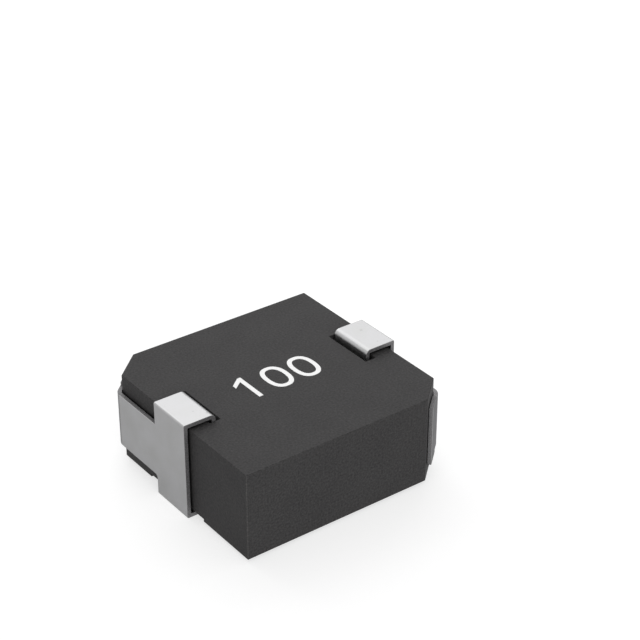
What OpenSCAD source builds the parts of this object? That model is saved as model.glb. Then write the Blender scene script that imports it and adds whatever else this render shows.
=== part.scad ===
// Shielded surface-mount inductor: a winding of flat wire inside a pressed iron-powder body, with a
// folded strip terminal on each end. Millimetres, +Z up, origin under the middle of the part, in the
// plane of the solder pads. The terminals face -X and +X.

/* [Body] */
// Length between the two faces that carry the terminals
body_l = 6.62; // [6.4:0.02:7.6]
// Width across the plain faces
body_w = 6.6; // [6.4:0.02:7.6]
// Height from the underside to the top face
body_h = 2.59; // [2.4:0.01:3.6]
// Corner chamfer, measured along the length
corner_x = 0.82; // [0.78:0.01:0.95]
// Corner chamfer, measured along the width
corner_y = 0.74; // [0.7:0.01:0.9]
// Bevel round the top face and the underside
edge_bevel = 0.03; // [0.02:0.01:0.08]
// Radius of the upright edges
edge_r = 0.02; // [0.01:0.01:0.04]

/* [Terminal strip] */
// Thickness of the strip
strip_t = 0.12; // [0.1:0.005:0.14]
// Width of the strip at the post, the lip and the pad
strip_w = 1.43; // [1.3:0.01:1.6]
// How far the strip's middle lies from the body's middle, away from the wing
strip_shift = 0.075; // [0.05:0.005:0.1]
// Gap between the strip and the side face behind it
side_gap = 0.065; // [0.05:0.005:0.08]
// Outer radius of the square folds at the lip and the pad
fold_r = 0.05; // [0.04:0.01:0.1]
// Inner radius of those folds and of the hook's bend
fold_in_r = 0.02; // [0.01:0.005:0.03]

/* [Lip and hook] */
// Gap between the lip and the top face
lip_gap = 0.08; // [0.06:0.005:0.12]
// Length of the lip, from the post's outer face to the far face of the hook
lip_reach = 0.98; // [0.94:0.01:1.1]
// Outer radius of the bend from the lip to the hook
hook_r = 0.14; // [0.08:0.01:0.18]
// How far the hook reaches below the top face
hook_depth = 0.25; // [0.2:0.01:0.3]

/* [Solder pad] */
// How far the pad's solder face stands below the body's underside
pad_stand = 0.105; // [0.08:0.005:0.12]
// Length of the pad, from the post's outer face to its square end
pad_reach = 1.38; // [1.2:0.01:1.5]

/* [Wing and weld tab] */
// Height of the wing that runs along the body's side to the chamfered corner
wing_h = 1.62; // [1.5:0.01:1.7]
// Radius of the fillet between the post and the wing, on the pad side
wing_fillet = 0.09; // [0.05:0.01:0.15]
// Inner radius of the bend that takes the wing round the corner
wing_bend_r = 0.25; // [0.2:0.01:0.3]
// Height of the weld tab at the wing's end
tab_h = 1.8; // [1.75:0.01:2]
// Gap between the weld tab and the chamfered corner
tab_gap = 0.01; // [0.01:0.005:0.02]
// Distance along the chamfer from its first edge to the tab
tab_start = 0.27; // [0.24:0.01:0.3]
// Distance from the tab's end to the chamfer's last edge
tab_margin = 0.2; // [0.1:0.01:0.25]

/* [Slots and pockets] */
// Clearance between the hook and the slot's wall nearest the body's middle
slot_in_gap = 0.12; // [0.04:0.01:0.14]
// Clearance between the hook and the slot's outer wall
slot_out_gap = 0.08; // [0.05:0.01:0.13]
// Clearance beyond the strip at the slot's first end
slot_front_gap = 0.015; // [0.01:0.005:0.03]
// Clearance beyond the strip at the slot's second end
slot_back_gap = 0.075; // [0.05:0.005:0.1]
// Clearance under the hook
slot_floor_gap = 0.05; // [0.03:0.01:0.08]
// Length of the pocket in the underside, from the side face
pocket_l = 1.96; // [1.8:0.01:2.1]
// Width of the pocket
pocket_w = 2.55; // [2.3:0.01:2.8]
// Clearance between the pad and the pocket's floor
pad_gap = 0.07; // [0.05:0.01:0.1]

/* [Winding] */
// Width of the flat wire, across the turns
wire_w = 0.52; // [0.45:0.01:0.54]
// Thickness of the flat wire
wire_t = 0.23; // [0.2:0.01:0.24]
// Gap between one turn and the next
turn_gap = 0.02; // [0.01:0.005:0.03]
// Whole turns, before the part turn that brings each lead to its own corner
whole_turns = 5; // [4:1:5]
// Inner radius of the turns
coil_in_r = 1.55; // [1.4:0.01:1.6]
// Clearance between the winding and the powder pressed round it
wire_gap = 0.03; // [0.02:0.005:0.04]

/* [Hidden] */
$fn = 64;
// Cuts run this far past the faces that they open
past = 0.1;

// The powder body stands on the pads, and the lips stand above it
body_z = pad_stand;
body_top = body_z + body_h;
body_mid = body_z + body_h / 2;
part_h = body_top + lip_gap + strip_t;
pocket_d = strip_t + pad_gap - pad_stand;

// Chamfered corner on the left terminal's side: its two edges, direction and outward normal
corner_a = [-body_l / 2, body_w / 2 - corner_y];
corner_b = [corner_x - body_l / 2, body_w / 2];
corner_len = norm(corner_b - corner_a);
corner_dir = (corner_b - corner_a) / corner_len;
corner_out = [-corner_dir.y, corner_dir.x];

// Left terminal's strip
post_x = -body_l / 2 - side_gap - strip_t;
strip_y0 = -strip_w / 2 - strip_shift;
strip_y1 = strip_w / 2 - strip_shift;
hook_x = post_x + lip_reach;
wing_r = wing_bend_r + strip_t;
wing_turn = acos(-corner_out.x);
tab_off = tab_gap + strip_t;
wing_corner_y = corner_a.y + (tab_off - corner_out.x * (post_x - corner_a.x)) / corner_out.y;
wing_centre = [post_x + wing_r, wing_corner_y - wing_r * tan(wing_turn / 2)];
tab_end = corner_len - tab_margin;
bend_steps = 16;

// The left lead leaves the coil along a tangent and meets the middle of the weld tab's inner face.
// The right lead does the same half a turn round, at the coil's other end.
turn_pitch = wire_t + turn_gap;
coil_r = coil_in_r + wire_w / 2;
weld_at = corner_a + corner_dir * (tab_start + tab_end) / 2 + corner_out * tab_gap;
weld_plane = corner_out * weld_at;
lead_swing = acos(coil_r / norm(weld_at));
lead_len = sqrt(norm(weld_at) ^ 2 - coil_r ^ 2);
coil_sweep = 360 * whole_turns + 180 - 2 * lead_swing;
coil_end = atan2(weld_at.y, weld_at.x) - lead_swing;
coil_start = coil_end - coil_sweep;
coil_rise = turn_pitch * coil_sweep / 360;
wire_slope = turn_pitch / (2 * PI * coil_r);
turn_steps = 48;
coil_steps = ceil(turn_steps * coil_sweep / 360);

// Corners of the wire's section, as steps outward and upward from its centre
wire_section = [[-wire_w, -wire_t], [wire_w, -wire_t], [wire_w, wire_t], [-wire_w, wire_t]] / 2;

function turned(p, a) = [p.x * cos(a) - p.y * sin(a), p.x * sin(a) + p.y * cos(a)];

// Section of the wire at one angle and height of the coil
function coil_ring(a, z) = [for (c = wire_section) [each turned([coil_r + c.x, 0], a), z + c.y]];

// Section of a lead's end, cut flush with its weld tab. The lead runs on at the coil's slope, with
// way 1 for the left lead, at the top of the coil, and way -1 for the right one, at the bottom.
function lead_ring(a, way, z) =
    let (along = turned([0, way], a), out = way * corner_out)
    [for (c = wire_section)
        let (from = turned([coil_r + c.x, 0], a), run = (weld_plane - out * from) / (out * along))
        [each (from + along * run), z + way * wire_slope * run + c.y]];

// Solid through a list of four-cornered rings
module sweep(rings) {
    count = len(rings);
    points = [for (r = rings) each r];
    sides = [for (i = [0 : count - 2], k = [0 : 3])
        let (a = 4 * i + k, b = 4 * i + (k + 1) % 4)
        each [[a, b, b + 4], [a, b + 4, a + 4]]];
    last = 4 * (count - 1);
    polyhedron(points, concat([[3, 2, 1, 0]], sides, [[last, last + 1, last + 2, last + 3]]));
}

// The corner of a square that a radius leaves out: cut from an outer fold, added in an inner one
module corner_web(r) {
    difference() {
        square(r);
        translate([r, r]) circle(r);
    }
}

module body_outline(inset) {
    offset(r = edge_r) offset(delta = -edge_r - inset)
        polygon([corner_a, corner_b, [body_l / 2, body_w / 2],
                 -corner_a, -corner_b, [-body_l / 2, -body_w / 2]]);
}

// Pressed block with a bevel round its top face and its underside
module body_block() {
    hull() {
        translate([0, 0, body_z]) linear_extrude(body_h) body_outline(edge_bevel);
        translate([0, 0, body_z + edge_bevel]) linear_extrude(body_h - 2 * edge_bevel) body_outline(0);
    }
}

// Ring-shaped space that the turns fill
module coil_space() {
    high = coil_rise + wire_t + 2 * wire_gap;
    translate([0, 0, body_mid - high / 2]) rotate_extrude()
        translate([coil_in_r - wire_gap, 0]) square([wire_w + 2 * wire_gap, high]);
}

// Straight way for a lead, from within the ring to past the chamfered corner. flip lays it over for
// the right lead.
module lead_way(a, flip) {
    from = wire_w / 2;
    to = lead_len + wire_w;
    translate([0, 0, body_mid]) rotate([flip, 0, a])
        translate([coil_in_r - wire_gap, from, coil_rise / 2 - wire_t / 2 - wire_gap])
            cube([wire_w + 2 * wire_gap, to - from, wire_t + wire_slope * to + 2 * wire_gap]);
}

// Slot in the top face for one hook. Both slots share one span across the width.
module hook_slot() {
    y0 = strip_y0 - slot_front_gap;
    y1 = -strip_y0 + slot_back_gap;
    x0 = hook_x - strip_t - slot_out_gap;
    translate([x0, y0, body_top - hook_depth - slot_floor_gap])
        cube([hook_x + slot_in_gap - x0, y1 - y0, hook_depth + slot_floor_gap + past]);
}

// Shallow pocket in the underside, open at the side face, that a solder pad lies in
module pad_pocket() {
    translate([-body_l / 2 - past, -pocket_w / 2, body_z - past])
        cube([pocket_l + past, pocket_w, pocket_d + past]);
}

module composite_body() {
    color("#4b4a4b")
    difference() {
        body_block();
        coil_space();
        lead_way(coil_end, 0);
        lead_way(coil_start, 180);
        hook_slot();
        mirror([1, 0, 0]) hook_slot();
        pad_pocket();
        mirror([1, 0, 0]) pad_pocket();
    }
}

module winding() {
    low = body_mid - coil_rise / 2;
    turns = [for (i = [0 : coil_steps])
        coil_ring(coil_start + coil_sweep * i / coil_steps, low + coil_rise * i / coil_steps)];
    color("#b4683a") sweep(concat(
        [lead_ring(coil_start, -1, low)], turns, [lead_ring(coil_end, 1, low + coil_rise)]));
}

// Side view of the strip: pad, post, lip and the hook's bend and leg
module strip_profile() {
    difference() {
        union() {
            square([pad_reach, strip_t]);
            square([strip_t, part_h]);
            translate([0, part_h - strip_t]) square([lip_reach, strip_t]);
            translate([lip_reach - strip_t, body_top - hook_depth])
                square([strip_t, hook_depth + lip_gap + strip_t]);
            translate([strip_t, strip_t]) corner_web(fold_in_r);
            translate([strip_t, part_h - strip_t]) mirror([0, 1]) corner_web(fold_in_r);
            translate([lip_reach - strip_t, part_h - strip_t]) rotate(180) corner_web(fold_in_r);
        }
        corner_web(fold_r);
        translate([0, part_h]) mirror([0, 1]) corner_web(fold_r);
        translate([lip_reach, part_h]) rotate(180) corner_web(hook_r);
    }
}

// A point beside the chamfer: how far along it, and how far out from its face
function by_chamfer(along, out) = corner_a + corner_dir * along + corner_out * out;

// Points round the wing's bend, from the side face to the chamfer
function wing_bend(r) = [for (i = [0 : bend_steps])
    wing_centre + turned([-r, 0], -wing_turn * i / bend_steps)];

// Wing seen from above: along the side face, round the bend and out to where the weld tab starts
module wing_profile() {
    inner = wing_bend(wing_bend_r);
    polygon(concat([[post_x, 0]], wing_bend(wing_r),
                   [by_chamfer(tab_start, tab_off), by_chamfer(tab_start, tab_gap)],
                   [for (i = [bend_steps : -1 : 0]) inner[i]], [[post_x + strip_t, 0]]));
}

module tab_profile() {
    polygon([by_chamfer(tab_start, tab_gap), by_chamfer(tab_start, tab_off),
             by_chamfer(tab_end, tab_off), by_chamfer(tab_end, tab_gap)]);
}

module terminal() {
    color("#e0e0e2") {
        translate([post_x, strip_y1, 0]) rotate([90, 0, 0]) linear_extrude(strip_w) strip_profile();
        translate([0, 0, body_mid - wing_h / 2]) linear_extrude(wing_h) wing_profile();
        translate([0, 0, body_mid - tab_h / 2]) linear_extrude(tab_h) tab_profile();
        translate([post_x, strip_y1, body_mid - wing_h / 2]) rotate([90, 0, 90])
            linear_extrude(strip_t) mirror([0, 1]) corner_web(wing_fillet);
    }
}

module terminal_left() {
    terminal();
}

module terminal_right() {
    rotate(180) terminal();
}

composite_body();
winding();
terminal_left();
terminal_right();
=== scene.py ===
from math import acos, atan2, cos, degrees, pi, radians, sin, sqrt, tan

import bmesh
import bpy
from mathutils import Matrix, Vector


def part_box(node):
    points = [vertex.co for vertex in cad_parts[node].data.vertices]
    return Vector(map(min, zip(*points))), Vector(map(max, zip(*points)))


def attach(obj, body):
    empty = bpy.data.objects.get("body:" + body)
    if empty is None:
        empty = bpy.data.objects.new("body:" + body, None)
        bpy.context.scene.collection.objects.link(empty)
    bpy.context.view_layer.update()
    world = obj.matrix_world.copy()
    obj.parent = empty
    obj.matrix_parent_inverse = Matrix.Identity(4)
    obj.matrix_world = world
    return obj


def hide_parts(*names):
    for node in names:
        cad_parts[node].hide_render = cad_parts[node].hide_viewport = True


# Shielded surface-mount inductor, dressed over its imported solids. The frame is in metres. Lengths in the
# dictionaries are in millimetres, and a shape becomes metres when it is finished.
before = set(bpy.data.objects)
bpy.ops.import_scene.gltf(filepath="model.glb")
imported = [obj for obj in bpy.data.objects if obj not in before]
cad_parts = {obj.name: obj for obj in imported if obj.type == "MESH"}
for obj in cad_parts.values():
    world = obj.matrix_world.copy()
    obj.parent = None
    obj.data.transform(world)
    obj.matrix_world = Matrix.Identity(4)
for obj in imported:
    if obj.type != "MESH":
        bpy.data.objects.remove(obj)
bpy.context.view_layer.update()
scene = bpy.context.scene
scene.view_settings.view_transform = "Standard"

mm = 0.001
past = 0.1  # how far a cutter runs past the face that it opens
noiseLow, noiseHigh = 0.3, 0.7  # nearly all of a noise texture lies between these
bodyLow, bodyHigh = [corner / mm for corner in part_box("composite_body")]
stripLow, stripHigh = [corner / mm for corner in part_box("terminal_left")]
bodyMiddle = (bodyLow.z + bodyHigh.z) / 2
print("frame loaded")


def hexColour(text):  # sRGB hex to the linear colour that a shader takes
    channels = [int(text[i:i + 2], 16) / 255 for i in (1, 3, 5)]
    return [c / 12.92 if c <= 0.04045 else ((c + 0.055) / 1.055) ** 2.4 for c in channels] + [1.0]


def patternScale(size):  # texture scale for features of this many millimetres
    return 1 / (size * mm)


def addNode(tree, kind, inputs=None, stops=(), **settings):
    node = tree.nodes.new(kind)
    for name, value in settings.items():
        setattr(node, name, value)
    for i, (position, colour) in enumerate(stops):
        elements = node.color_ramp.elements
        element = elements[i] if i < len(elements) else elements.new(position)
        element.position, element.color = position, colour
    for socket, value in (inputs or {}).items():
        if isinstance(value, bpy.types.NodeSocket):
            tree.links.new(value, node.inputs[socket])
        else:
            node.inputs[socket].default_value = value
    return node


def startMaterial(name):
    material = bpy.data.materials.new(name)
    material.use_nodes = True
    tree = material.node_tree
    return material, tree, tree.nodes["Principled BSDF"]


# 1 inside a few round spots of mixed size. rarity is the share of places that stay bare, and largest is
# the biggest spot's radius as a share of the spacing.
def scatteredSpots(tree, spot, spacing, rarity, largest):
    cells = addNode(tree, "ShaderNodeTexVoronoi", {"Vector": spot, "Scale": patternScale(spacing)}).outputs
    chance = addNode(tree, "ShaderNodeSeparateColor", {"Color": cells["Color"]}).outputs["Red"]
    size = addNode(tree, "ShaderNodeMapRange", {
        "Value": chance, "From Min": rarity, "From Max": 1.0, "To Min": 0.0, "To Max": largest})
    return addNode(tree, "ShaderNodeMath", {0: cells["Distance"], 1: size.outputs["Result"]},
                   operation="LESS_THAN").outputs[0]


# Pressed iron powder, bound and cured: fine grains give a dull, dense dark grey. The die's walls leave
# faint upright drag lines on the sides. The two square upright edges carry a painted highlight, and walls
# in the slots and close behind the strip carry painted shade that turns them nearly black.
powder = {
    "grain": 0.06,  # real grains are near 0.03, and are drawn twice as coarse so that they show
    "cloud": 0.9,
    "cloudShare": 0.12,
    "tones": (0.34, 0.78),  # where the dark and the light tone lie on the grain
    "dark": "#2c2b2c",
    "light": "#4f4e4e",
    "paintedHighlightDark": "#3a393a",
    "paintedHighlightLight": "#626160",
    "pitSpacing": 0.16,
    "pitRarity": 0.6,
    "largestPit": 0.22,
    "pitDepth": 0.004,
    "fleck": "#5c5b5a",
    "fleckShare": 0.15,
    "paintedShade": "#131313",
    "paintedShadeReach": 0.12,
    "paintedShadeRange": (0.28, 0.6),  # how open a place is where the painted shade is darkest, and where it is plain again
    "paintedShadeRays": 12,
    "dragWidth": 0.05,
    "dragLength": 1.4,
    "dragShare": 0.5,
    "uprightLean": 0.3,  # faces that lean no more than this carry drag lines
    "roughness": (0.6, 0.8),
    "specular": 0.15,
    "bump": 0.5,
}


def pressedIronPowder(name, dark, light):
    material, tree, shader = startMaterial(name)
    spot = addNode(tree, "ShaderNodeTexCoord").outputs["Object"]
    grain = addNode(tree, "ShaderNodeTexNoise", {
        "Vector": spot, "Scale": patternScale(powder["grain"]),
        "Detail": 3.0, "Roughness": 0.62}).outputs["Fac"]
    cloud = addNode(tree, "ShaderNodeTexNoise", {
        "Vector": spot, "Scale": patternScale(powder["cloud"]), "Detail": 2.0}).outputs["Fac"]
    mixed = addNode(tree, "ShaderNodeMath", {0: cloud, 1: powder["cloudShare"], 2: grain},
                    operation="MULTIPLY_ADD").outputs[0]
    base = addNode(tree, "ShaderNodeValToRGB", {"Fac": mixed}, stops=[
        (powder["tones"][0], hexColour(dark)), (powder["tones"][1], hexColour(light))]).outputs["Color"]

    pit = scatteredSpots(tree, spot, powder["pitSpacing"], powder["pitRarity"], powder["largestPit"])
    faint = addNode(tree, "ShaderNodeMath", {0: pit, 1: powder["fleckShare"]},
                    operation="MULTIPLY").outputs[0]
    flecked = addNode(tree, "ShaderNodeMix", {"Factor": faint, 6: base, 7: hexColour(powder["fleck"])},
                      data_type="RGBA").outputs[2]
    # Painted shade: where ambient occlusion finds a wall hemmed in, the colour goes towards nearly black
    openness = addNode(tree, "ShaderNodeAmbientOcclusion", {
        "Distance": powder["paintedShadeReach"] * mm}, samples=powder["paintedShadeRays"]).outputs["AO"]
    clearOfPaintedShade = addNode(tree, "ShaderNodeMapRange", {
        "Value": openness, "From Min": powder["paintedShadeRange"][0],
        "From Max": powder["paintedShadeRange"][1]}).outputs["Result"]
    colour = addNode(tree, "ShaderNodeMix", {
        "Factor": clearOfPaintedShade, 6: hexColour(powder["paintedShade"]), 7: flecked}, data_type="RGBA").outputs[2]

    dragScale = addNode(tree, "ShaderNodeMapping", {"Vector": spot, "Scale": (
        patternScale(powder["dragWidth"]), patternScale(powder["dragWidth"]),
        patternScale(powder["dragLength"]))}).outputs["Vector"]
    drag = addNode(tree, "ShaderNodeTexNoise", {
        "Vector": dragScale, "Scale": 1.0, "Detail": 2.0}).outputs["Fac"]
    facing = addNode(tree, "ShaderNodeSeparateXYZ", {
        "Vector": addNode(tree, "ShaderNodeNewGeometry").outputs["True Normal"]}).outputs["Z"]
    upright = addNode(tree, "ShaderNodeMath", {0: facing, 1: 0.0, 2: powder["uprightLean"]},
                      operation="COMPARE").outputs[0]
    dragged = addNode(tree, "ShaderNodeMath", {0: drag, 1: upright}, operation="MULTIPLY").outputs[0]

    roughness = addNode(tree, "ShaderNodeMapRange", {
        "Value": grain, "From Min": noiseLow, "From Max": noiseHigh,
        "To Min": powder["roughness"][0], "To Max": powder["roughness"][1]}).outputs["Result"]
    relief = addNode(tree, "ShaderNodeMath", {0: dragged, 1: powder["dragShare"], 2: grain},
                     operation="MULTIPLY_ADD").outputs[0]
    height = addNode(tree, "ShaderNodeMath", {0: relief, 1: pit}, operation="SUBTRACT").outputs[0]
    bump = addNode(tree, "ShaderNodeBump", {
        "Height": height, "Strength": powder["bump"],
        "Distance": powder["pitDepth"] * mm}).outputs["Normal"]
    shader.inputs["Specular IOR Level"].default_value = powder["specular"]
    tree.links.new(colour, shader.inputs["Base Color"])
    tree.links.new(roughness, shader.inputs["Roughness"])
    tree.links.new(bump, shader.inputs["Normal"])
    return material


# Matte tin electroplated on copper strip: pale, soft-sheened and a little cloudy, with fine crystals and a
# few nicks from handling. It goes dull where it is seen along its surface.
tin = {
    "crystal": 0.04,  # real crystals are a few microns, and are drawn coarser so that they show
    "crystalHeight": 0.0012,
    "smudge": 0.6,
    "tones": (0.35, 0.65),
    "dull": "#aeaeae",
    "bright": "#b3b3b4",
    "nickSpacing": 0.24,
    "nickRarity": 0.5,
    "largestNick": 0.22,
    "nickShare": 0.3,
    "nicked": "#7c7c7c",
    "alongSurface": "#69696a",
    "roughness": (0.34, 0.4),
    "bump": 0.4,
}


def matteTinPlate():
    material, tree, shader = startMaterial("matteTinPlate")
    spot = addNode(tree, "ShaderNodeTexCoord").outputs["Object"]
    crystal = addNode(tree, "ShaderNodeTexVoronoi", {
        "Vector": spot, "Scale": patternScale(tin["crystal"])}).outputs["Distance"]
    smudge = addNode(tree, "ShaderNodeTexNoise", {
        "Vector": spot, "Scale": patternScale(tin["smudge"]),
        "Detail": 4.0, "Roughness": 0.6}).outputs["Fac"]
    plain = addNode(tree, "ShaderNodeValToRGB", {"Fac": smudge}, stops=[
        (tin["tones"][0], hexColour(tin["dull"])), (tin["tones"][1], hexColour(tin["bright"]))])
    nick = scatteredSpots(tree, spot, tin["nickSpacing"], tin["nickRarity"], tin["largestNick"])
    faint = addNode(tree, "ShaderNodeMath", {0: nick, 1: tin["nickShare"]}, operation="MULTIPLY").outputs[0]
    colour = addNode(tree, "ShaderNodeMix", {
        "Factor": faint, 6: plain.outputs["Color"], 7: hexColour(tin["nicked"])},
                     data_type="RGBA").outputs[2]
    roughness = addNode(tree, "ShaderNodeMapRange", {
        "Value": smudge, "From Min": noiseLow, "From Max": noiseHigh,
        "To Min": tin["roughness"][0], "To Max": tin["roughness"][1]}).outputs["Result"]
    bump = addNode(tree, "ShaderNodeBump", {
        "Height": crystal, "Strength": tin["bump"],
        "Distance": tin["crystalHeight"] * mm}).outputs["Normal"]
    shader.inputs["Metallic"].default_value = 1.0
    shader.inputs["Specular Tint"].default_value = hexColour(tin["alongSurface"])
    tree.links.new(colour, shader.inputs["Base Color"])
    tree.links.new(roughness, shader.inputs["Roughness"])
    tree.links.new(bump, shader.inputs["Normal"])
    return material


# Sheared edge of the strip: torn and thinly plated, so darker and duller than the faces
shearedEdge = {
    "tear": 0.03,
    "tearDepth": 0.003,
    "tones": (0.35, 0.7),
    "dark": "#6d6c6d",
    "light": "#888788",
    "metallic": 0.85,
    "roughness": 0.6,
    "bump": 0.5,
}


def shearedTinnedEdge():
    material, tree, shader = startMaterial("shearedTinnedEdge")
    spot = addNode(tree, "ShaderNodeTexCoord").outputs["Object"]
    tear = addNode(tree, "ShaderNodeTexNoise", {
        "Vector": spot, "Scale": patternScale(shearedEdge["tear"]), "Detail": 3.0}).outputs["Fac"]
    colour = addNode(tree, "ShaderNodeValToRGB", {"Fac": tear}, stops=[
        (shearedEdge["tones"][0], hexColour(shearedEdge["dark"])),
        (shearedEdge["tones"][1], hexColour(shearedEdge["light"]))]).outputs["Color"]
    bump = addNode(tree, "ShaderNodeBump", {
        "Height": tear, "Strength": shearedEdge["bump"],
        "Distance": shearedEdge["tearDepth"] * mm}).outputs["Normal"]
    shader.inputs["Metallic"].default_value = shearedEdge["metallic"]
    shader.inputs["Roughness"].default_value = shearedEdge["roughness"]
    tree.links.new(colour, shader.inputs["Base Color"])
    tree.links.new(bump, shader.inputs["Normal"])
    return material


# Drawn copper wire under clear amber enamel: warm metal beneath a thin gloss
enamel = {
    "drawLine": 0.05,
    "tones": (0.3, 0.7),
    "dark": "#a9562c",
    "light": "#bf6c3c",
    "copperRoughness": 0.3,
    "coatRoughness": 0.08,
}


def enamelledCopper():
    material, tree, shader = startMaterial("enamelledCopper")
    spot = addNode(tree, "ShaderNodeTexCoord").outputs["Object"]
    line = addNode(tree, "ShaderNodeTexNoise", {
        "Vector": spot, "Scale": patternScale(enamel["drawLine"]), "Detail": 2.0}).outputs["Fac"]
    colour = addNode(tree, "ShaderNodeValToRGB", {"Fac": line}, stops=[
        (enamel["tones"][0], hexColour(enamel["dark"])),
        (enamel["tones"][1], hexColour(enamel["light"]))]).outputs["Color"]
    shader.inputs["Metallic"].default_value = 1.0
    shader.inputs["Roughness"].default_value = enamel["copperRoughness"]
    shader.inputs["Coat Weight"].default_value = 1.0
    shader.inputs["Coat Roughness"].default_value = enamel["coatRoughness"]
    tree.links.new(colour, shader.inputs["Base Color"])
    return material


# Screened epoxy ink: opaque white with a slight gloss, and thin enough to take a little of the powder's
# grain
ink = {
    "grain": 0.08,
    "relief": 0.002,
    "tones": (0.35, 0.6),
    "shade": "#fafaf9",
    "white": "#ffffff",
    "roughness": 0.35,
    "specular": 0.8,
    "bump": 0.4,
}


def whiteEpoxyInk():
    material, tree, shader = startMaterial("whiteEpoxyInk")
    spot = addNode(tree, "ShaderNodeTexCoord").outputs["Object"]
    grain = addNode(tree, "ShaderNodeTexNoise", {
        "Vector": spot, "Scale": patternScale(ink["grain"]), "Detail": 3.0}).outputs["Fac"]
    colour = addNode(tree, "ShaderNodeValToRGB", {"Fac": grain}, stops=[
        (ink["tones"][0], hexColour(ink["shade"])),
        (ink["tones"][1], hexColour(ink["white"]))]).outputs["Color"]
    bump = addNode(tree, "ShaderNodeBump", {
        "Height": grain, "Strength": ink["bump"], "Distance": ink["relief"] * mm}).outputs["Normal"]
    shader.inputs["Roughness"].default_value = ink["roughness"]
    shader.inputs["Specular IOR Level"].default_value = ink["specular"]
    tree.links.new(colour, shader.inputs["Base Color"])
    tree.links.new(bump, shader.inputs["Normal"])
    return material


powderFinish = pressedIronPowder("pressedIronPowder", powder["dark"], powder["light"])
# A paler copy of the powder: a painted highlight for the two square upright edges
paintedHighlightFinish = pressedIronPowder("paintedHighlightIronPowder", powder["paintedHighlightDark"], powder["paintedHighlightLight"])
tinFinish = matteTinPlate()
edgeFinish = shearedTinnedEdge()
copperFinish = enamelledCopper()
inkFinish = whiteEpoxyInk()
print("materials made")


def arc(centre, radius, start, end, steps):  # points round an arc, with its angles in degrees
    angles = [radians(start + (end - start) * i / steps) for i in range(steps + 1)]
    return [Vector((centre[0] + radius * cos(a), centre[1] + radius * sin(a))) for a in angles]


def showMesh(name, mesh):
    piece = bpy.data.objects.new(name, mesh)
    scene.collection.objects.link(piece)
    return piece


# Closed solid: an outline pushed from low to high. place takes the outline's two values and the pushed
# one to a point. Caps or walls that a shear has cut take the second finish.
def prism(name, outline, low, high, place, finishes=(), cutCaps=False, cutWalls=()):
    shape = bmesh.new()
    rings = [[shape.verts.new(place(u, v, w)) for u, v in outline] for w in (low, high)]
    for ring in rings:
        shape.faces.new(ring).material_index = int(cutCaps)
    for i in range(len(outline)):
        j = (i + 1) % len(outline)
        wall = shape.faces.new((rings[0][i], rings[0][j], rings[1][j], rings[1][i]))
        wall.material_index = int(i in cutWalls)
    bmesh.ops.recalc_face_normals(shape, faces=shape.faces)
    mesh = bpy.data.meshes.new(name)
    shape.to_mesh(mesh)
    shape.free()
    for finish in finishes:
        mesh.materials.append(finish)
    return showMesh(name, mesh)


def seenFromAbove(x, y, z):
    return (x, y, z)


def seenFromSide(x, z, y):
    return (x, y, z)


def seenFromEnd(y, z, x):
    return (x, y, z)


def block(name, low, high):
    corners = [(low[0], low[1]), (high[0], low[1]), (high[0], high[1]), (low[0], high[1])]
    return prism(name, corners, low[2], high[2], seenFromAbove)


def applyModifiers(piece):
    graph = bpy.context.evaluated_depsgraph_get()
    mesh = bpy.data.meshes.new_from_object(piece.evaluated_get(graph))
    piece.modifiers.clear()
    piece.data = mesh


def combine(piece, other, operation):
    modifier = piece.modifiers.new("combine", "BOOLEAN")
    modifier.object, modifier.operation, modifier.solver = other, operation, "EXACT"
    applyModifiers(piece)
    bpy.data.objects.remove(other)


doubleDistance = 0.0001
flatAngle = 0.5  # degrees within which faces are one flat


def mergeFlats(piece):  # one face for each flat, so that edges are real edges
    shape = bmesh.new()
    shape.from_mesh(piece.data)
    bmesh.ops.remove_doubles(shape, verts=shape.verts, dist=doubleDistance)
    bmesh.ops.dissolve_limit(shape, angle_limit=radians(flatAngle), verts=shape.verts, edges=shape.edges,
                             delimit={"MATERIAL"})
    shape.to_mesh(piece.data)
    shape.free()


def roundEdges(piece, radius, segments, sharpest):  # edges that turn more than sharpest degrees
    modifier = piece.modifiers.new("round", "BEVEL")
    modifier.width, modifier.segments = radius, segments
    modifier.limit_method, modifier.angle_limit = "ANGLE", radians(sharpest)
    modifier.use_clamp_overlap = False
    applyModifiers(piece)


def smoothFlats(piece):  # flats keep their own normal, and rounded edges blend into them
    for face in piece.data.polygons:
        face.use_smooth = True
    modifier = piece.modifiers.new("flats", "WEIGHTED_NORMAL")
    modifier.keep_sharp = True
    applyModifiers(piece)


def finishPiece(piece, materials, slot, *nodes):
    for material in materials:
        if material.name not in piece.data.materials:
            piece.data.materials.append(material)
    piece.data.transform(Matrix.Scale(mm, 4))
    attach(piece, "root")
    if nodes:
        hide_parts(*nodes)
    print(piece.name, len(piece.data.polygons), "faces")


# Folded terminal strip. The left one is worked out, and the right one is the same turned half round.
strip = {
    "thickness": 0.12,
    "width": 1.43,
    "foldRadius": 0.05,
    "foldInnerRadius": 0.02,
    "lipReach": 0.98,
    "hookRadius": 0.16,  # 0.02 over the solid's, as the nearer hook has it
    "hookDepth": 0.25,
    "padReach": 1.38,
    "wingHeight": 1.62,
    "wingFillet": 0.09,
    "wingBendRadius": 0.25,
    "tabHeight": 1.8,
    "tabGap": 0.01,
    "tabStart": 0.27,
    "tabMargin": 0.2,
    "cornerX": 0.82,
    "cornerY": 0.74,
    "edgeRadius": 0.012,
    "bendSteps": 16,
    "filletSteps": 8,
}
postX = stripLow.x
hookX = postX + strip["lipReach"]
hookTip = bodyHigh.z - strip["hookDepth"]
stripY = (stripLow.y, stripLow.y + strip["width"])

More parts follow.
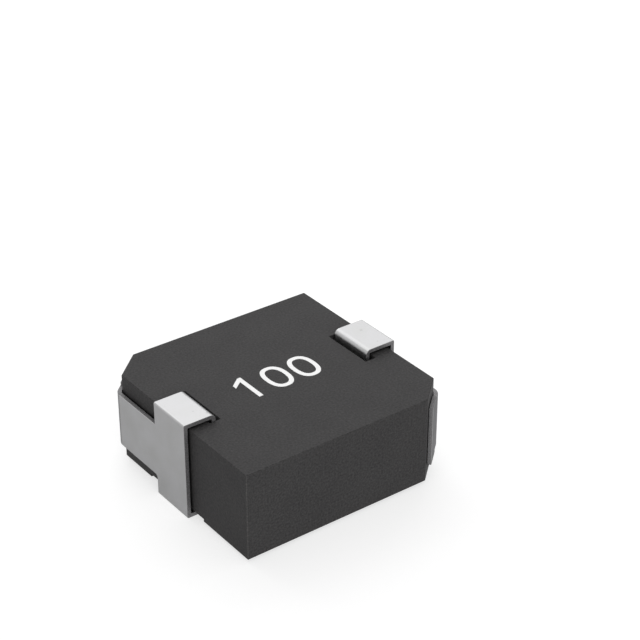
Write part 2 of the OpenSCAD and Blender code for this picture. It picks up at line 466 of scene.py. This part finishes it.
# The chamfered corner that the wing bends round: its two edges, its run and its outward normal
cornerStart = Vector((bodyLow.x, bodyHigh.y - strip["cornerY"]))
cornerEnd = Vector((bodyLow.x + strip["cornerX"], bodyHigh.y))
cornerLength = (cornerEnd - cornerStart).length
cornerRun = (cornerEnd - cornerStart) / cornerLength
cornerOut = Vector((-cornerRun.y, cornerRun.x))


def byCorner(along, out):  # a point beside the chamfer
    return cornerStart + cornerRun * along + cornerOut * out


def stripOutline():  # side view of pad, post, lip and hook, with the walls that a shear cuts
    thick, steps = strip["thickness"], strip["bendSteps"]
    fold, inner, bend = strip["foldRadius"], strip["foldInnerRadius"], strip["hookRadius"]
    top, reach, pad = stripHigh.z, strip["lipReach"], strip["padReach"]
    points = [Vector((pad, 0))]
    points += arc((fold, fold), fold, 270, 180, steps)
    points += arc((fold, top - fold), fold, 180, 90, steps)
    points += arc((reach - bend, top - bend), bend, 90, 0, steps)
    points += [Vector((reach, hookTip)), Vector((reach - thick, hookTip))]
    points += arc((reach - thick - inner, top - thick - inner), inner, 0, 90, steps)
    points += arc((thick + inner, top - thick - inner), inner, 90, 180, steps)
    points += arc((thick + inner, thick + inner), inner, 180, 270, steps)
    points += [Vector((pad, thick))]
    hookEnd = 1 + 3 * (steps + 1)
    return [p + Vector((postX, 0)) for p in points], (hookEnd, len(points) - 1)


def wingOutline():  # seen from above: along the side face, round the bend and up to the weld tab
    thick, gap, bend = strip["thickness"], strip["tabGap"], strip["wingBendRadius"]
    out, outer, steps = gap + thick, bend + thick, strip["bendSteps"]
    turn = acos(-cornerOut.x)
    cornerPoint = cornerStart.y + (out - cornerOut.x * (postX - cornerStart.x)) / cornerOut.y
    centre = (postX + outer, cornerPoint - outer * tan(turn / 2))
    end = 180 - degrees(turn)
    points = [Vector((postX, 0))] + arc(centre, outer, 180, end, steps)
    points += [byCorner(strip["tabStart"], out), byCorner(strip["tabStart"], gap)]
    points += arc(centre, bend, end, 180, steps) + [Vector((postX + thick, 0))]
    return points


def makeTerminal(name):
    thick, gap, fillet = strip["thickness"], strip["tabGap"], strip["wingFillet"]
    outline, cuts = stripOutline()
    piece = prism(name, outline, *stripY, seenFromSide, stripFinishes, cutCaps=True, cutWalls=cuts)
    wingLow, wingHigh = bodyMiddle - strip["wingHeight"] / 2, bodyMiddle + strip["wingHeight"] / 2
    wing = prism("wing", wingOutline(), wingLow, wingHigh, seenFromAbove, stripFinishes, cutCaps=True)
    combine(piece, wing, "UNION")
    ends = (strip["tabStart"], cornerLength - strip["tabMargin"])
    tab = [byCorner(ends[0], gap), byCorner(ends[0], gap + thick),
           byCorner(ends[1], gap + thick), byCorner(ends[1], gap)]
    tabLow, tabHigh = bodyMiddle - strip["tabHeight"] / 2, bodyMiddle + strip["tabHeight"] / 2
    weldTab = prism("tab", tab, tabLow, tabHigh, seenFromAbove, stripFinishes, cutCaps=True,
                    cutWalls=(0, 2))
    combine(piece, weldTab, "UNION")
    web = [Vector((stripY[1], wingLow)), Vector((stripY[1] + fillet, wingLow))]
    web += arc((stripY[1] + fillet, wingLow - fillet), fillet, 90, 180, strip["filletSteps"])[1:]
    filletWeb = prism("web", web, postX, postX + thick, seenFromEnd, stripFinishes,
                      cutWalls=range(1, strip["filletSteps"] + 1))
    combine(piece, filletWeb, "UNION")
    mergeFlats(piece)
    roundEdges(piece, strip["edgeRadius"], segments=3, sharpest=40)
    smoothFlats(piece)
    return piece


stripFinishes = (tinFinish, edgeFinish)
terminalLeft = makeTerminal("terminalLeft")
terminalRight = showMesh("terminalRight", terminalLeft.data.copy())
terminalRight.data.transform(Matrix.Rotation(pi, 4, "Z"))
finishPiece(terminalLeft, stripFinishes, "tinned_copper", "terminal_left")
finishPiece(terminalRight, stripFinishes, "tinned_copper", "terminal_right")

# Winding of flat wire: a helix with a straight lead along the tangent at each end
wire = {
    "width": 0.52,
    "thickness": 0.23,
    "turnGap": 0.02,
    "wholeTurns": 5,
    "innerRadius": 1.55,
    "clearance": 0.03,
    "edgeRadius": 0.05,
    "edgeSteps": 4,
    "points": 480,
}
coilRadius = wire["innerRadius"] + wire["width"] / 2
turnPitch = wire["thickness"] + wire["turnGap"]
weldPoint = byCorner((strip["tabStart"] + cornerLength - strip["tabMargin"]) / 2, strip["tabGap"])
leadLength = sqrt(weldPoint.length ** 2 - coilRadius ** 2)
leadSwing = acos(coilRadius / weldPoint.length)
coilEnd = atan2(weldPoint.y, weldPoint.x) - leadSwing
coilSweep = 2 * pi * wire["wholeTurns"] + pi - 2 * leadSwing
coilStart = coilEnd - coilSweep
coilLength = coilSweep * coilRadius
coilRise = turnPitch * coilSweep / (2 * pi)
wireSlope = turnPitch / (2 * pi * coilRadius)


# Shape nodes with named sizes. A number in sizes is a number input, and a material or a count is its own
# kind of input.
def startShapeTree(name, sizes):
    tree = bpy.data.node_groups.new(name, "GeometryNodeTree")
    tree.interface.new_socket(name="Geometry", in_out="OUTPUT", socket_type="NodeSocketGeometry")
    tree.interface.new_socket(name="Geometry", in_out="INPUT", socket_type="NodeSocketGeometry")
    kinds = {float: "NodeSocketFloat", int: "NodeSocketInt", bpy.types.Material: "NodeSocketMaterial"}
    for label, value in sizes.items():
        tree.interface.new_socket(name=label, in_out="INPUT", socket_type=kinds[type(value)])
    return tree, addNode(tree, "NodeGroupInput").outputs


def runShapeTree(name, tree, sizes, start):
    piece = bpy.data.objects.new(name, start)
    scene.collection.objects.link(piece)
    modifier = piece.modifiers.new("shape", "NODES")
    modifier.node_group = tree
    for item in tree.interface.items_tree:
        if item.in_out == "INPUT" and item.name in sizes:
            modifier[item.identifier] = sizes[item.name]
    graph = bpy.context.evaluated_depsgraph_get()
    mesh = bpy.data.meshes.new_from_object(piece.evaluated_get(graph))
    piece.modifiers.remove(modifier)
    bpy.data.objects.remove(piece)
    return showMesh(name, mesh)


def windingTree(sizes):
    tree, given = startShapeTree("wireAlongHelix", sizes)
    line = addNode(tree, "GeometryNodeCurvePrimitiveLine").outputs["Curve"]
    path = addNode(tree, "GeometryNodeResampleCurve", {
        "Curve": line, "Count": given["Points"]}).outputs["Curve"]
    share = addNode(tree, "GeometryNodeSplineParameter").outputs["Factor"]
    both = addNode(tree, "ShaderNodeMath", {0: given["Lead Length"], 1: 2.0, 2: given["Coil Length"]},
                   operation="MULTIPLY_ADD").outputs[0]
    fromLead = addNode(tree, "ShaderNodeMath", {0: share, 1: both}, operation="MULTIPLY").outputs[0]
    run = addNode(tree, "ShaderNodeMath", {0: fromLead, 1: given["Lead Length"]},
                  operation="SUBTRACT").outputs[0]
    inCoil = addNode(tree, "ShaderNodeClamp", {
        "Value": run, "Min": 0.0, "Max": given["Coil Length"]}).outputs["Result"]
    over = addNode(tree, "ShaderNodeMath", {0: run, 1: inCoil}, operation="SUBTRACT").outputs[0]
    swept = addNode(tree, "ShaderNodeMath", {0: inCoil, 1: given["Coil Radius"]},
                    operation="DIVIDE").outputs[0]
    angle = addNode(tree, "ShaderNodeMath", {0: swept, 1: given["Start Angle"]}).outputs[0]
    cosine = addNode(tree, "ShaderNodeMath", {0: angle}, operation="COSINE").outputs[0]
    sine = addNode(tree, "ShaderNodeMath", {0: angle}, operation="SINE").outputs[0]
    outward = addNode(tree, "ShaderNodeCombineXYZ", {"X": cosine, "Y": sine}).outputs["Vector"]
    backward = addNode(tree, "ShaderNodeMath", {0: sine, 1: -1.0}, operation="MULTIPLY").outputs[0]
    onward = addNode(tree, "ShaderNodeCombineXYZ", {"X": backward, "Y": cosine}).outputs["Vector"]
    onCoil = addNode(tree, "ShaderNodeVectorMath", {0: outward, "Scale": given["Coil Radius"]},
                     operation="SCALE").outputs["Vector"]
    onLead = addNode(tree, "ShaderNodeVectorMath", {0: onward, "Scale": over},
                     operation="SCALE").outputs["Vector"]
    height = addNode(tree, "ShaderNodeMath", {0: run, 1: given["Slope"], 2: given["Start Height"]},
                     operation="MULTIPLY_ADD").outputs[0]
    rise = addNode(tree, "ShaderNodeCombineXYZ", {"Z": height}).outputs["Vector"]
    flat = addNode(tree, "ShaderNodeVectorMath", {0: onCoil, 1: onLead}).outputs["Vector"]
    place = addNode(tree, "ShaderNodeVectorMath", {0: flat, 1: rise}).outputs["Vector"]
    helix = addNode(tree, "GeometryNodeSetPosition", {
        "Geometry": path, "Position": place}).outputs["Geometry"]
    level = addNode(tree, "GeometryNodeSetCurveNormal", {"Curve": helix}, mode="Z_UP").outputs["Curve"]
    section = addNode(tree, "GeometryNodeCurvePrimitiveQuadrilateral", {
        "Width": given["Wire Width"], "Height": given["Wire Thickness"]}).outputs["Curve"]
    rounded = addNode(tree, "GeometryNodeFilletCurve", {
        "Curve": section, "Radius": given["Edge Radius"], "Count": given["Edge Steps"]},
                      mode="POLY").outputs["Curve"]
    wireMesh = addNode(tree, "GeometryNodeCurveToMesh", {
        "Curve": level, "Profile Curve": rounded, "Fill Caps": True}).outputs["Mesh"]
    real = addNode(tree, "GeometryNodeRealizeInstances", {"Geometry": wireMesh}).outputs["Geometry"]
    painted = addNode(tree, "GeometryNodeSetMaterial", {
        "Geometry": real, "Material": given["Material"]}).outputs["Geometry"]
    addNode(tree, "NodeGroupOutput", {"Geometry": painted})
    return tree


def makeWinding():
    sizes = {
        "Points": wire["points"],
        "Lead Length": leadLength + wire["width"] / 2,
        "Coil Length": coilLength,
        "Coil Radius": coilRadius,
        "Start Angle": coilStart,
        "Start Height": bodyMiddle - coilRise / 2,
        "Slope": wireSlope,
        "Wire Width": wire["width"],
        "Wire Thickness": wire["thickness"],
        "Edge Radius": wire["edgeRadius"],
        "Edge Steps": wire["edgeSteps"],
        "Material": copperFinish,
    }
    piece = runShapeTree("flatWireWinding", windingTree(sizes), sizes, bpy.data.meshes.new("start"))
    for vertex in piece.data.vertices:  # the leads end flush with their weld tabs
        spot = vertex.co
        for side, angle in ((1, coilEnd), (-1, coilStart)):
            out = Vector((*(cornerOut * side), 0))
            along = Vector((-sin(angle), cos(angle), wireSlope)) * side
            beyond = spot.dot(out) - cornerOut.dot(weldPoint)
            if beyond > 0:
                vertex.co = spot - along * (beyond / along.dot(out))
    for face in piece.data.polygons:
        face.use_smooth = True
    return piece


winding = makeWinding()
finishPiece(winding, (copperFinish,), "enamelled_copper", "winding")

# Pressed body
body = {
    "edgeRadius": 0.022,
    "slotEdgeRadius": 0.012,
    "slotInGap": 0.14,  # 0.02 over the solid's, so that its shadow shows beyond the lip
    "slotOutGap": 0.08,
    "slotFrontGap": 0.015,
    "slotBackGap": 0.075,
    "slotFloorGap": 0.05,
    "pocketLength": 1.96,
    "pocketWidth": 2.55,
    "padGap": 0.07,
    "ringSteps": 96,
    "uprightLean": 0.05,
}


def cutBothEnds(piece, name, low, high):  # one box, and its mirror image at the other end
    combine(piece, block(name, low, high), "DIFFERENCE")
    combine(piece, block(name, (-high[0], low[1], low[2]), (-low[0], high[1], high[2])), "DIFFERENCE")


def coilSpace():
    gap = wire["clearance"]
    half = (coilRise + wire["thickness"]) / 2 + gap
    outer = arc((0, 0), wire["innerRadius"] + wire["width"] + gap, 0, 360, body["ringSteps"])[:-1]
    inner = arc((0, 0), wire["innerRadius"] - gap, 0, 360, body["ringSteps"])[:-1]
    ring = prism("ring", outer, bodyMiddle - half, bodyMiddle + half, seenFromAbove)
    combine(ring, prism("core", inner, bodyMiddle - half - past, bodyMiddle + half + past, seenFromAbove),
            "DIFFERENCE")
    return ring


def leadWay(angle, flip):
    gap, start, end = wire["clearance"], wire["width"] / 2, leadLength + wire["width"]
    low = (wire["innerRadius"] - gap, start, coilRise / 2 - wire["thickness"] / 2 - gap)
    high = (low[0] + wire["width"] + 2 * gap, end, low[2] + wire["thickness"] + wireSlope * end + 2 * gap)
    way = block("way", low, high)
    turn = Matrix.Rotation(angle, 4, "Z") @ Matrix.Rotation(flip, 4, "X")
    way.data.transform(Matrix.Translation((0, 0, bodyMiddle)) @ turn)
    return way


def makeBody():
    outline = [Vector((bodyLow.x, bodyLow.y)), -cornerEnd, -cornerStart,
               Vector((bodyHigh.x, bodyHigh.y)), cornerEnd, cornerStart]
    piece = prism("pressedBody", outline, bodyLow.z, bodyHigh.z, seenFromAbove, bodyFinishes)
    roundEdges(piece, body["edgeRadius"], segments=4, sharpest=30)
    for face in piece.data.polygons:  # the narrow strips round the two square upright edges get the painted highlight
        narrow = face.area < body["edgeRadius"] * (bodyHigh.z - bodyLow.z)
        if narrow and abs(face.normal.z) < body["uprightLean"] and face.normal.x * face.normal.y > 0:
            face.material_index = 1
    slotLow = (hookX - strip["thickness"] - body["slotOutGap"], stripY[0] - body["slotFrontGap"],
               hookTip - body["slotFloorGap"])
    slotHigh = (hookX + body["slotInGap"], -stripY[0] + body["slotBackGap"], bodyHigh.z + past)
    cutBothEnds(piece, "slot", slotLow, slotHigh)
    pocketTop = strip["thickness"] + body["padGap"]
    pocketHigh = (bodyLow.x + body["pocketLength"], body["pocketWidth"] / 2, pocketTop)
    cutBothEnds(piece, "pocket", (bodyLow.x - past, -body["pocketWidth"] / 2, bodyLow.z - past), pocketHigh)
    mergeFlats(piece)
    roundEdges(piece, body["slotEdgeRadius"], segments=2, sharpest=60)
    combine(piece, coilSpace(), "DIFFERENCE")
    combine(piece, leadWay(coilEnd, 0), "DIFFERENCE")
    combine(piece, leadWay(coilStart, pi), "DIFFERENCE")
    smoothFlats(piece)
    return piece


bodyFinishes = (powderFinish, paintedHighlightFinish)
pressedBody = makeBody()
finishPiece(pressedBody, bodyFinishes, "powder_composite", "composite_body")

# Value mark in plain digits, a one and two noughts, on the middle of the top face
mark = {
    "height": 1.08,
    "stroke": 0.13,
    "noughtWidth": 0.74,
    "noughtPlace": -0.02,
    "spacing": 0.9,
    "noughts": 2,
    "noughtSteps": 64,
    "squareness": 0.84,
    "inkThickness": 0.008,
    "mergeDistance": 0.0005,
    "stemPlace": -0.9,
    "flagReach": 0.4,
    "flagDrop": 0.24,
    "flagHead": 0.3,  # these three are in strokes
    "flagEnd": 1.15,
    "flagThroat": 1.4,
}


def oneOutline():
    stroke, top = mark["stroke"], mark["height"] / 2
    left, right = mark["stemPlace"] - stroke / 2, mark["stemPlace"] + stroke / 2
    flagX, flagY = right - mark["flagReach"], top - mark["flagDrop"]
    head, throat = mark["stemPlace"] - stroke * mark["flagHead"], top - stroke * mark["flagThroat"]
    return [(right, -top), (right, top), (head, top), (flagX, flagY),
            (flagX, flagY - stroke * mark["flagEnd"]), (left, throat), (left, -top)]


def markTree(sizes):
    tree, given = startShapeTree("digitsInInk", sizes)

    def noughtLoop(inset):  # rounded oblong ring, drawn in from the nought's outer size
        circle = addNode(tree, "GeometryNodeCurvePrimitiveCircle", {
            "Resolution": given["Nought Steps"], "Radius": 1.0}).outputs["Curve"]
        spot = addNode(tree, "GeometryNodeInputPosition").outputs["Position"]
        size = addNode(tree, "ShaderNodeVectorMath", {0: spot}, operation="ABSOLUTE").outputs["Vector"]
        way = addNode(tree, "ShaderNodeVectorMath", {0: spot}, operation="SIGN").outputs["Vector"]
        parts = addNode(tree, "ShaderNodeSeparateXYZ", {"Vector": size}).outputs
        bent = [addNode(tree, "ShaderNodeMath", {0: parts[axis], 1: given["Squareness"]},
                        operation="POWER").outputs[0] for axis in ("X", "Y")]
        oblong = addNode(tree, "ShaderNodeCombineXYZ", {"X": bent[0], "Y": bent[1]}).outputs["Vector"]
        halves = [addNode(tree, "ShaderNodeMath", {0: given[label], 1: 0.5}, operation="MULTIPLY").outputs[0]
                  for label in ("Nought Width", "Digit Height")]
        reaches = [addNode(tree, "ShaderNodeMath", {0: half, 1: inset}, operation="SUBTRACT").outputs[0]
                   for half in halves]
        reach = addNode(tree, "ShaderNodeCombineXYZ", {"X": reaches[0], "Y": reaches[1]}).outputs["Vector"]
        sized = addNode(tree, "ShaderNodeVectorMath", {0: oblong, 1: reach}, operation="MULTIPLY")
        signed = addNode(tree, "ShaderNodeVectorMath", {0: sized.outputs["Vector"], 1: way},
                         operation="MULTIPLY")
        return addNode(tree, "GeometryNodeSetPosition", {
            "Geometry": circle, "Position": signed.outputs["Vector"]}).outputs["Geometry"]

    nought = addNode(tree, "GeometryNodeJoinGeometry")
    for inset in (0.0, given["Stroke"]):
        tree.links.new(noughtLoop(inset), nought.inputs["Geometry"])
    noughtFace = addNode(tree, "GeometryNodeFillCurve", {
        "Curve": nought.outputs["Geometry"]}).outputs["Mesh"]
    start = addNode(tree, "ShaderNodeCombineXYZ", {"X": given["Nought Place"]}).outputs["Vector"]
    step = addNode(tree, "ShaderNodeCombineXYZ", {"X": given["Spacing"]}).outputs["Vector"]
    row = addNode(tree, "GeometryNodeMeshLine", {
        "Count": given["Noughts"], "Start Location": start, "Offset": step}).outputs["Mesh"]
    noughts = addNode(tree, "GeometryNodeInstanceOnPoints", {
        "Points": row, "Instance": noughtFace}).outputs["Instances"]
    oneFace = addNode(tree, "GeometryNodeFillCurve", {"Curve": given["Geometry"]}).outputs["Mesh"]
    faces = addNode(tree, "GeometryNodeJoinGeometry")
    for source in (noughts, oneFace):
        tree.links.new(source, faces.inputs["Geometry"])
    real = addNode(tree, "GeometryNodeRealizeInstances", {
        "Geometry": faces.outputs["Geometry"]}).outputs["Geometry"]
    raised = addNode(tree, "GeometryNodeExtrudeMesh", {
        "Mesh": real, "Offset Scale": given["Ink Thickness"], "Individual": False}).outputs["Mesh"]
    underside = addNode(tree, "GeometryNodeFlipFaces", {"Mesh": real}).outputs["Mesh"]
    film = addNode(tree, "GeometryNodeJoinGeometry")
    for source in (raised, underside):
        tree.links.new(source, film.inputs["Geometry"])
    closed = addNode(tree, "GeometryNodeMergeByDistance", {
        "Geometry": film.outputs["Geometry"], "Distance": given["Merge Distance"]}).outputs["Geometry"]
    painted = addNode(tree, "GeometryNodeSetMaterial", {
        "Geometry": closed, "Material": given["Material"]}).outputs["Geometry"]
    addNode(tree, "NodeGroupOutput", {"Geometry": painted})
    return tree


def makeMark():
    curve = bpy.data.curves.new("one", "CURVE")
    curve.dimensions = "3D"
    spline = curve.splines.new("POLY")
    outline = oneOutline()
    spline.points.add(len(outline) - 1)
    for point, spot in zip(spline.points, outline):
        point.co = (*spot, 0, 1)
    spline.use_cyclic_u = True
    sizes = {
        "Digit Height": mark["height"],
        "Nought Width": mark["noughtWidth"],
        "Nought Steps": mark["noughtSteps"],
        "Stroke": mark["stroke"],
        "Squareness": mark["squareness"],
        "Nought Place": mark["noughtPlace"],
        "Spacing": mark["spacing"],
        "Noughts": mark["noughts"],
        "Ink Thickness": mark["inkThickness"],
        "Merge Distance": mark["mergeDistance"],
        "Material": inkFinish,
    }
    piece = runShapeTree("valueMark", markTree(sizes), sizes, curve)
    piece.data.transform(Matrix.Translation((0, 0, bodyHigh.z)))
    return piece


valueMark = makeMark()
finishPiece(valueMark, (inkFinish,), "powder_composite")

# Studio: pale floor, a broad lamp high behind, a weaker one low in front, and a white surround
studio = {
    "floorSize": 800,
    "floorColour": "#b8b8b8",
    "floorRoughness": 0.9,
    "floorLift": 0.65,  # brings the floor up to the white background for rays that see it directly
    "surround": 0.56,
    "keyPlace": (19, 53, 49),
    "keySize": (100, 60),
    "keyPower": 0.0232,
    "fillPlace": (-15, -75, 20),
    "fillSize": (50, 50),
    "fillPower": 0.019,
}


def seenDirectly(tree):  # 1 for camera, glossy and transmission rays, which see the white background
    path = addNode(tree, "ShaderNodeLightPath").outputs
    two = addNode(tree, "ShaderNodeMath", {0: path["Is Camera Ray"], 1: path["Is Glossy Ray"]},
                  operation="MAXIMUM").outputs[0]
    return addNode(tree, "ShaderNodeMath", {0: two, 1: path["Is Transmission Ray"]},
                   operation="MAXIMUM").outputs[0]


def makeSurround():
    world = bpy.data.worlds.new("whiteSurround")
    scene.world = world
    world.use_nodes = True
    tree = world.node_tree
    strength = addNode(tree, "ShaderNodeMapRange", {
        "Value": seenDirectly(tree), "To Min": studio["surround"], "To Max": 1.0}).outputs["Result"]
    background = tree.nodes["Background"]
    background.inputs["Color"].default_value = (1, 1, 1, 1)
    tree.links.new(strength, background.inputs["Strength"])


def paleStudioFloor():
    material, tree, shader = startMaterial("paleStudioFloor")
    shader.inputs["Base Color"].default_value = hexColour(studio["floorColour"])
    shader.inputs["Roughness"].default_value = studio["floorRoughness"]
    lift = addNode(tree, "ShaderNodeMath", {0: seenDirectly(tree), 1: studio["floorLift"]},
                   operation="MULTIPLY").outputs[0]
    shader.inputs["Emission Color"].default_value = (1, 1, 1, 1)
    tree.links.new(lift, shader.inputs["Emission Strength"])
    return material


def makeFloor():
    half = studio["floorSize"] / 2
    corners = [(-half, -half, 0), (half, -half, 0), (half, half, 0), (-half, half, 0)]
    mesh = bpy.data.meshes.new("floor")
    mesh.from_pydata(corners, [], [(0, 1, 2, 3)])
    mesh.transform(Matrix.Scale(mm, 4))
    mesh.materials.append(paleStudioFloor())
    showMesh("floor", mesh)


def softLamp(name, place, size, power):
    lamp = bpy.data.lights.new(name, "AREA")
    lamp.shape, lamp.energy = "RECTANGLE", power
    lamp.size, lamp.size_y = size[0] * mm, size[1] * mm
    holder = bpy.data.objects.new(name, lamp)
    scene.collection.objects.link(holder)
    holder.location = Vector(place) * mm
    holder.rotation_euler = Vector(place).to_track_quat("Z", "Y").to_euler()
    holder.visible_camera = False


makeSurround()
makeFloor()
softLamp("keyLamp", studio["keyPlace"], studio["keySize"], studio["keyPower"])
softLamp("fillLamp", studio["fillPlace"], studio["fillSize"], studio["fillPower"])

# Camera at the photograph's viewing angle
lens = {
    "place": (-23.368, -33.164, 27.844),
    "turn": 36.78,
    "dip": 29.99,
    "length": 100.24,
    "sensor": 36,
    "nearest": 1,
    "farthest": 2000,
}
camera = bpy.data.objects.new("camera", bpy.data.cameras.new("camera"))
scene.collection.objects.link(camera)
camera.location = Vector(lens["place"]) * mm
camera.rotation_euler = (radians(90 - lens["dip"]), 0, radians(-lens["turn"]))
camera.data.lens, camera.data.sensor_width = lens["length"], lens["sensor"]
camera.data.clip_start, camera.data.clip_end = lens["nearest"] * mm, lens["farthest"] * mm
scene.camera = camera
print("studio made")
